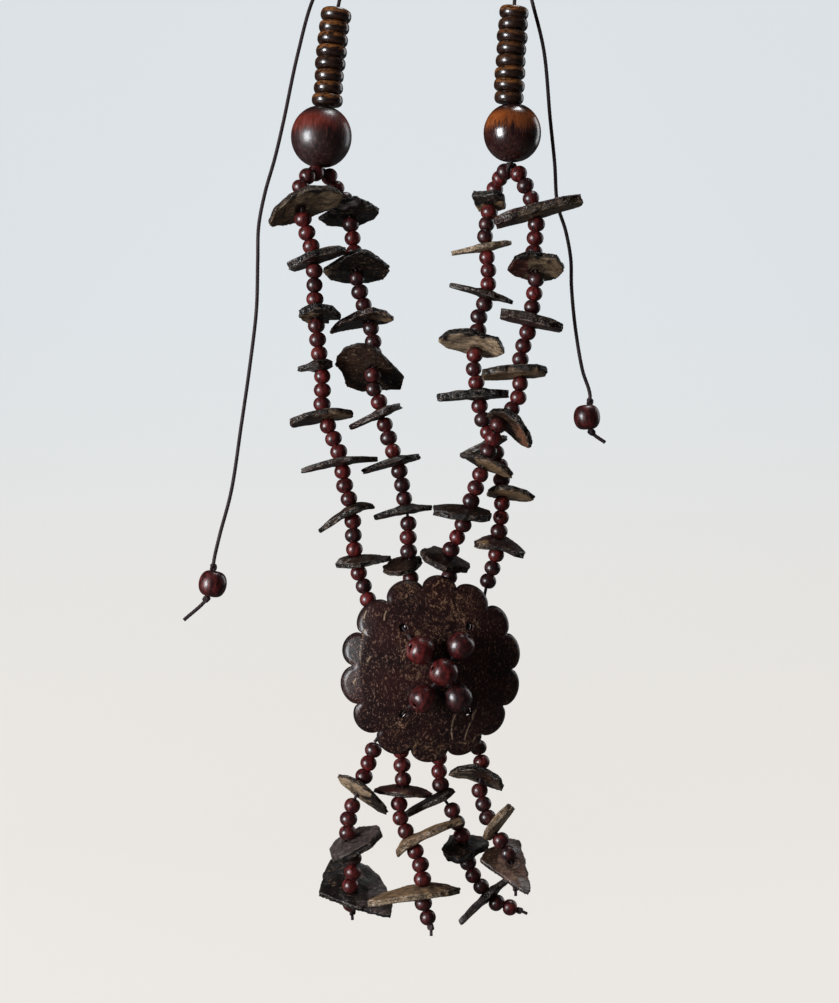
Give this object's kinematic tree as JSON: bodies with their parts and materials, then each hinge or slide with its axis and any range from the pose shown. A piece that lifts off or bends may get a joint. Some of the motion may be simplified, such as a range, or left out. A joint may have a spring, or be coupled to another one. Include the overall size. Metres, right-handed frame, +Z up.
{
  "type": "coconut shell bead necklace",
  "caption": "Hanging necklace of small round wooden beads and rough coconut shell chips, with a scalloped shell pendant, short fringe strands, large side beads and an adjustable cord.",
  "frame": {"origin": "where a peg bears on the underside of the crown of the cord loop", "axes": "+Z up, -Y the front that is worn outward, +X to the right as seen from the front"},
  "size_m": [0.1332, 0.0384, 0.3514],
  "materials": {
    "cord": "waxed twisted cotton",
    "small_bead": "glossy dark red lacquer",
    "large_bead": "glossy dark brown lacquer over upright grain",
    "shell": "polished faces, rough broken edges",
    "pale_shell": "worn tan inner face, rough broken edges",
    "pendant_shell": "polished shell with tan flecks"
  },
  "bodies": {
    "hanging_loop": {"hanging_loop": "cord"},
    "necklace": {"left_strands": "small_bead", "right_strands": "small_bead"},
    "left_sliding_knot": {"left_sliding_knot": "cord"},
    "right_sliding_knot": {"right_sliding_knot": "cord"},
    "left_tail": {"left_tail": "cord"},
    "right_tail": {"right_tail": "cord"},
    "left_large_bead": {"left_large_bead": "large_bead"},
    "right_large_bead": {"right_large_bead": "large_bead"},
    "pendant": {"pendant_disc": "pendant_shell", "centre_beads": "small_bead", "back_cords": "cord"},
    "fringe_1": {"fringe_1": "small_bead"},
    "fringe_2": {"fringe_2": "small_bead"},
    "fringe_3": {"fringe_3": "small_bead"},
    "fringe_4": {"fringe_4": "small_bead"},
    "chip_left_outer_1": {"chip_left_outer_1": "pale_shell"},
    "chip_left_outer_2": {"chip_left_outer_2": "shell"},
    "chip_left_outer_3": {"chip_left_outer_3": "shell"},
    "chip_left_outer_4": {"chip_left_outer_4": "shell"},
    "chip_left_outer_5": {"chip_left_outer_5": "shell"},
    "chip_left_outer_6": {"chip_left_outer_6": "shell"},
    "chip_left_outer_7": {"chip_left_outer_7": "shell"},
    "chip_left_outer_8": {"chip_left_outer_8": "shell"},
    "chip_left_inner_1": {"chip_left_inner_1": "shell"},
    "chip_left_inner_2": {"chip_left_inner_2": "shell"},
    "chip_left_inner_3": {"chip_left_inner_3": "shell"},
    "chip_left_inner_4": {"chip_left_inner_4": "shell"},
    "chip_left_inner_5": {"chip_left_inner_5": "shell"},
    "chip_left_inner_6": {"chip_left_inner_6": "shell"},
    "chip_left_inner_7": {"chip_left_inner_7": "shell"},
    "chip_left_inner_8": {"chip_left_inner_8": "shell"},
    "chip_right_back_1": {"chip_right_back_1": "pale_shell"},
    "chip_right_back_2": {"chip_right_back_2": "pale_shell"},
    "chip_right_back_3": {"chip_right_back_3": "shell"},
    "chip_right_back_4": {"chip_right_back_4": "pale_shell"},
    "chip_right_back_5": {"chip_right_back_5": "shell"},
    "chip_right_back_6": {"chip_right_back_6": "shell"},
    "chip_right_back_7": {"chip_right_back_7": "shell"},
    "chip_right_back_8": {"chip_right_back_8": "shell"},
    "chip_right_front_1": {"chip_right_front_1": "shell"},
    "chip_right_front_2": {"chip_right_front_2": "pale_shell"},
    "chip_right_front_3": {"chip_right_front_3": "shell"},
    "chip_right_front_4": {"chip_right_front_4": "shell"},
    "chip_right_front_5": {"chip_right_front_5": "shell"},
    "chip_right_front_6": {"chip_right_front_6": "shell"},
    "chip_right_front_7": {"chip_right_front_7": "shell"},
    "chip_right_front_8": {"chip_right_front_8": "shell"},
    "chip_fringe_1_1": {"chip_fringe_1_1": "pale_shell"},
    "chip_fringe_1_2": {"chip_fringe_1_2": "shell"},
    "chip_fringe_1_3": {"chip_fringe_1_3": "shell"},
    "chip_fringe_2_1": {"chip_fringe_2_1": "shell"},
    "chip_fringe_2_2": {"chip_fringe_2_2": "pale_shell"},
    "chip_fringe_2_3": {"chip_fringe_2_3": "pale_shell"},
    "chip_fringe_3_1": {"chip_fringe_3_1": "shell"},
    "chip_fringe_3_2": {"chip_fringe_3_2": "shell"},
    "chip_fringe_3_3": {"chip_fringe_3_3": "shell"},
    "chip_fringe_4_1": {"chip_fringe_4_1": "pale_shell"},
    "chip_fringe_4_2": {"chip_fringe_4_2": "pale_shell"},
    "chip_fringe_4_3": {"chip_fringe_4_3": "pale_shell"}
  },
  "joints": [
    {"name": "necklace_swing", "type": "hinge", "parent": "hanging_loop", "child": "necklace", "pos_m": [0, 0, -0.02825], "axis": [1, 0, 0], "range_deg": [-20, 20]},
    {"name": "left_knot_slide", "type": "slide", "parent": "necklace", "child": "left_sliding_knot", "axis": [0.1559, 0, 0.9878], "range_m": [0, 0.006]},
    {"name": "left_tail_swing", "type": "hinge", "parent": "left_sliding_knot", "child": "left_tail", "pos_m": [-0.02664, 0, -0.04377], "axis": [1, 0, 0], "range_deg": [-20, 20]},
    {"name": "left_large_bead_spin", "type": "hinge", "parent": "necklace", "child": "left_large_bead", "pos_m": [-0.03297, 0, -0.10274], "axis": [-0.1007, 0, -0.9949], "continuous": true},
    {"name": "right_knot_slide", "type": "slide", "parent": "necklace", "child": "right_sliding_knot", "axis": [-0.0122, 0, 0.9999], "range_m": [0, 0.006]},
    {"name": "right_tail_swing", "type": "hinge", "parent": "right_sliding_knot", "child": "right_tail", "pos_m": [0.02906, 0, -0.04411], "axis": [1, 0, 0], "range_deg": [-2, 20]},
    {"name": "right_large_bead_spin", "type": "hinge", "parent": "necklace", "child": "right_large_bead", "pos_m": [0.0267, 0, -0.10154], "axis": [0.0276, 0, -0.9996], "continuous": true},
    {"name": "pendant_swing", "type": "hinge", "parent": "necklace", "child": "pendant", "pos_m": [0, 0.00022, -0.2494], "axis": [0.9659, 0.2588, 0], "range_deg": [-7, 12]},
    {"name": "fringe_1_swing", "type": "hinge", "parent": "pendant", "child": "fringe_1", "pos_m": [-0.01621, -0.00502, -0.29151], "axis": [0.9659, 0.2588, 0], "range_deg": [-1, 10]},
    {"name": "fringe_2_swing", "type": "hinge", "parent": "pendant", "child": "fringe_2", "pos_m": [-0.00803, -0.00282, -0.29162], "axis": [0.9659, 0.2588, 0], "range_deg": [-6, 1]},
    {"name": "fringe_3_swing", "type": "hinge", "parent": "pendant", "child": "fringe_3", "pos_m": [0.00357, 0.00028, -0.2916], "axis": [0.9659, 0.2588, 0], "range_deg": [-2, 12]},
    {"name": "fringe_4_swing", "type": "hinge", "parent": "pendant", "child": "fringe_4", "pos_m": [0.01566, 0.00348, -0.29151], "axis": [0.9659, 0.2588, 0], "range_deg": [-12, 2]},
    {"name": "left_outer_1_chip_turn", "type": "hinge", "parent": "necklace", "child": "chip_left_outer_1", "pos_m": [-0.03892, -0.0064, -0.12448], "axis": [0.0476, 0.1765, -0.9832], "range_deg": [-25, 25]},
    {"name": "left_outer_2_chip_turn", "type": "hinge", "parent": "necklace", "child": "chip_left_outer_2", "pos_m": [-0.03528, -0.00446, -0.14138], "axis": [0.1274, 0.0172, -0.9917], "range_deg": [-13, 25]},
    {"name": "left_outer_3_chip_turn", "type": "hinge", "parent": "necklace", "child": "chip_left_outer_3", "pos_m": [-0.03459, -0.0037, -0.15801], "axis": [0.05, 0.0423, -0.9979], "range_deg": [-20, 25]},
    {"name": "left_outer_4_chip_turn", "type": "hinge", "parent": "necklace", "child": "chip_left_outer_4", "pos_m": [-0.03295, -0.00347, -0.17429], "axis": [0.1484, -0.0267, -0.9886], "range_deg": [-25, 25]},
    {"name": "left_outer_5_chip_turn", "type": "hinge", "parent": "necklace", "child": "chip_left_outer_5", "pos_m": [-0.032, -0.00407, -0.18998], "axis": [0.2914, -0.0507, -0.9553], "range_deg": [-25, 25]},
    {"name": "left_outer_6_chip_turn", "type": "hinge", "parent": "necklace", "child": "chip_left_outer_6", "pos_m": [-0.02658, -0.00457, -0.20432], "axis": [0.1674, 0.0286, -0.9855], "range_deg": [-25, 25]},
    {"name": "left_outer_7_chip_turn", "type": "hinge", "parent": "necklace", "child": "chip_left_outer_7", "pos_m": [-0.02331, -0.00359, -0.2193], "axis": [0.1588, 0.0489, -0.9861], "range_deg": [-25, 25]},
    {"name": "left_outer_8_chip_turn", "type": "hinge", "parent": "necklace", "child": "chip_left_outer_8", "pos_m": [-0.0221, -0.00353, -0.23526], "axis": [0.1641, -0.0414, -0.9856], "range_deg": [-11, 25]},
    {"name": "left_inner_1_chip_turn", "type": "hinge", "parent": "necklace", "child": "chip_left_inner_1", "pos_m": [-0.02466, 0.00367, -0.12555], "axis": [0.2081, -0.0691, -0.9757], "range_deg": [-25, 25]},
    {"name": "left_inner_2_chip_turn", "type": "hinge", "parent": "necklace", "child": "chip_left_inner_2", "pos_m": [-0.02239, 0.00293, -0.14249], "axis": [0.071, -0.0251, -0.9972], "range_deg": [-25, 25]},
    {"name": "left_inner_3_chip_turn", "type": "hinge", "parent": "necklace", "child": "chip_left_inner_3", "pos_m": [-0.01867, 0.00294, -0.1587], "axis": [0.3281, 0.1653, -0.9301], "range_deg": [-25, 25]},
    {"name": "left_inner_4_chip_turn", "type": "hinge", "parent": "necklace", "child": "chip_left_inner_4", "pos_m": [-0.01685, -0.00061, -0.17367], "axis": [-0.0126, -0.4215, -0.9067], "range_deg": [-25, 25]},
    {"name": "left_inner_5_chip_turn", "type": "hinge", "parent": "necklace", "child": "chip_left_inner_5", "pos_m": [-0.01389, -0.0004, -0.18889], "axis": [0.2023, 0.0995, -0.9742], "range_deg": [-25, 25]},
    {"name": "left_inner_6_chip_turn", "type": "hinge", "parent": "necklace", "child": "chip_left_inner_6", "pos_m": [-0.00959, 0.00044, -0.2041], "axis": [0.3267, 0.001, -0.9451], "range_deg": [-25, 25]},
    {"name": "left_inner_7_chip_turn", "type": "hinge", "parent": "necklace", "child": "chip_left_inner_7", "pos_m": [-0.00642, 0.00013, -0.21907], "axis": [0.2084, -0.0215, -0.9778], "range_deg": [-25, 25]},
    {"name": "left_inner_8_chip_turn", "type": "hinge", "parent": "necklace", "child": "chip_left_inner_8", "pos_m": [-0.0053, -0.00092, -0.23639], "axis": [0.088, -0.0389, -0.9954], "range_deg": [-13, 10]},
    {"name": "right_back_1_chip_turn", "type": "hinge", "parent": "necklace", "child": "chip_right_back_1", "pos_m": [0.02065, 0.00993, -0.12124], "axis": [-0.2227, -0.1108, -0.9686], "range_deg": [-25, 25]},
    {"name": "right_back_2_chip_turn", "type": "hinge", "parent": "necklace", "child": "chip_right_back_2", "pos_m": [0.01855, 0.00497, -0.13646], "axis": [0.0904, -0.2484, -0.9644], "range_deg": [-25, 25]},
    {"name": "right_back_3_chip_turn", "type": "hinge", "parent": "necklace", "child": "chip_right_back_3", "pos_m": [0.0189, 0.00297, -0.15163], "axis": [-0.1804, 0.0384, -0.9828], "range_deg": [-25, 25]},
    {"name": "right_back_4_chip_turn", "type": "hinge", "parent": "necklace", "child": "chip_right_back_4", "pos_m": [0.01607, 0.003, -0.16695], "axis": [-0.1971, 0, -0.9804], "range_deg": [-25, 25]},
    {"name": "right_back_5_chip_turn", "type": "hinge", "parent": "necklace", "child": "chip_right_back_5", "pos_m": [0.01614, 0.00299, -0.18301], "axis": [0.1117, -0.005, -0.9937], "range_deg": [-25, 25]},
    {"name": "right_back_6_chip_turn", "type": "hinge", "parent": "necklace", "child": "chip_right_back_6", "pos_m": [0.02061, 0.00352, -0.19813], "axis": [0.394, 0.0758, -0.916], "range_deg": [-23, 25]},
    {"name": "right_back_7_chip_turn", "type": "hinge", "parent": "necklace", "child": "chip_right_back_7", "pos_m": [0.02364, 0.00423, -0.21361], "axis": [0.0188, 0.0149, -0.9997], "range_deg": [-25, 25]},
    {"name": "right_back_8_chip_turn", "type": "hinge", "parent": "necklace", "child": "chip_right_back_8", "pos_m": [0.02229, 0.00443, -0.22974], "axis": [-0.1066, 0.0123, -0.9942], "range_deg": [-25, 25]},
    {"name": "right_front_1_chip_turn", "type": "hinge", "parent": "necklace", "child": "chip_right_front_1", "pos_m": [0.03357, -0.002, -0.1263], "axis": [0.197, 0, -0.9804], "range_deg": [-15, 25]},
    {"name": "right_front_2_chip_turn", "type": "hinge", "parent": "necklace", "child": "chip_right_front_2", "pos_m": [0.03378, -0.002, -0.14333], "axis": [0.1202, 0, -0.9927], "range_deg": [-25, 25]},
    {"name": "right_front_3_chip_turn", "type": "hinge", "parent": "necklace", "child": "chip_right_front_3", "pos_m": [0.03217, -0.00198, -0.16017], "axis": [-0.1725, -0.0002, -0.985], "range_deg": [-25, 25]},
    {"name": "right_front_4_chip_turn", "type": "hinge", "parent": "necklace", "child": "chip_right_front_4", "pos_m": [0.02913, -0.00231, -0.17625], "axis": [0.0336, -0.0285, -0.999], "range_deg": [-25, 25]},
    {"name": "right_front_5_chip_turn", "type": "hinge", "parent": "necklace", "child": "chip_right_front_5", "pos_m": [0.02396, -0.00491, -0.19054], "axis": [-0.6251, -0.5131, -0.5883], "range_deg": [-25, 25]},
    {"name": "right_front_6_chip_turn", "type": "hinge", "parent": "necklace", "child": "chip_right_front_6", "pos_m": [0.01783, -0.00384, -0.20458], "axis": [-0.3061, 0.3139, -0.8987], "range_deg": [-25, 25]},
    {"name": "right_front_7_chip_turn", "type": "hinge", "parent": "necklace", "child": "chip_right_front_7", "pos_m": [0.01249, -0.00117, -0.22021], "axis": [-0.3026, 0.0927, -0.9486], "range_deg": [-11, 1]},
    {"name": "right_front_8_chip_turn", "type": "hinge", "parent": "necklace", "child": "chip_right_front_8", "pos_m": [0.00705, 0.00099, -0.236], "axis": [-0.0269, 0.1121, -0.9933], "range_deg": [-25, 9]},
    {"name": "fringe_1_1_chip_turn", "type": "hinge", "parent": "fringe_1", "child": "chip_fringe_1_1", "pos_m": [-0.02104, -0.00459, -0.30583], "axis": [-0.3961, 0.0916, -0.9136], "range_deg": [-5, 25]},
    {"name": "fringe_1_2_chip_turn", "type": "hinge", "parent": "fringe_1", "child": "chip_fringe_1_2", "pos_m": [-0.02386, -0.00287, -0.32358], "axis": [0.2887, 0.0436, -0.9564], "range_deg": [-25, 25]},
    {"name": "fringe_1_3_chip_turn", "type": "hinge", "parent": "fringe_1", "child": "chip_fringe_1_3", "pos_m": [-0.02385, -0.00187, -0.33922], "axis": [0.0031, 0.5601, -0.8284], "range_deg": [-25, 25]},
    {"name": "fringe_2_1_chip_turn", "type": "hinge", "parent": "fringe_2", "child": "chip_fringe_2_1", "pos_m": [-0.00764, -0.00411, -0.30646], "axis": [-0.1068, -0.1009, -0.9892], "range_deg": [-4, 25]},
    {"name": "fringe_2_2_chip_turn", "type": "hinge", "parent": "fringe_2", "child": "chip_fringe_2_2", "pos_m": [-0.0051, -0.00592, -0.32177], "axis": [0.4525, -0.1307, -0.8822], "range_deg": [-17, 25]},
    {"name": "fringe_2_3_chip_turn", "type": "hinge", "parent": "fringe_2", "child": "chip_fringe_2_3", "pos_m": [-0.00128, -0.00791, -0.33676], "axis": [-0.0056, -0.0741, -0.9972], "range_deg": [-25, 7]},
    {"name": "fringe_3_1_chip_turn", "type": "hinge", "parent": "fringe_3", "child": "chip_fringe_3_1", "pos_m": [0.00499, 0.00213, -0.30883], "axis": [0.2966, 0.1303, -0.9461], "range_deg": [-18, 25]},
    {"name": "fringe_3_2_chip_turn", "type": "hinge", "parent": "fringe_3", "child": "chip_fringe_3_2", "pos_m": [0.01213, 0.00456, -0.32613], "axis": [0.2183, 0.0726, -0.9732], "range_deg": [-25, 23]},
    {"name": "fringe_3_3_chip_turn", "type": "hinge", "parent": "fringe_3", "child": "chip_fringe_3_3", "pos_m": [0.01955, 0.00525, -0.34067], "axis": [0.7022, -0.0049, -0.712], "range_deg": [-25, 25]},
    {"name": "fringe_4_1_chip_turn", "type": "hinge", "parent": "fringe_4", "child": "chip_fringe_4_1", "pos_m": [0.01693, 0.0026, -0.30224], "axis": [-0.168, -0.1242, -0.9779], "range_deg": [-25, 25]},
    {"name": "fringe_4_2_chip_turn", "type": "hinge", "parent": "fringe_4", "child": "chip_fringe_4_2", "pos_m": [0.02057, -0.00028, -0.31883], "axis": [0.5582, -0.2548, -0.7896], "range_deg": [-25, 25]},
    {"name": "fringe_4_3_chip_turn", "type": "hinge", "parent": "fringe_4", "child": "chip_fringe_4_3", "pos_m": [0.02664, -0.00131, -0.33018], "axis": [0.2681, 0.2578, -0.9282], "range_deg": [-11, 2]}
  ]
}
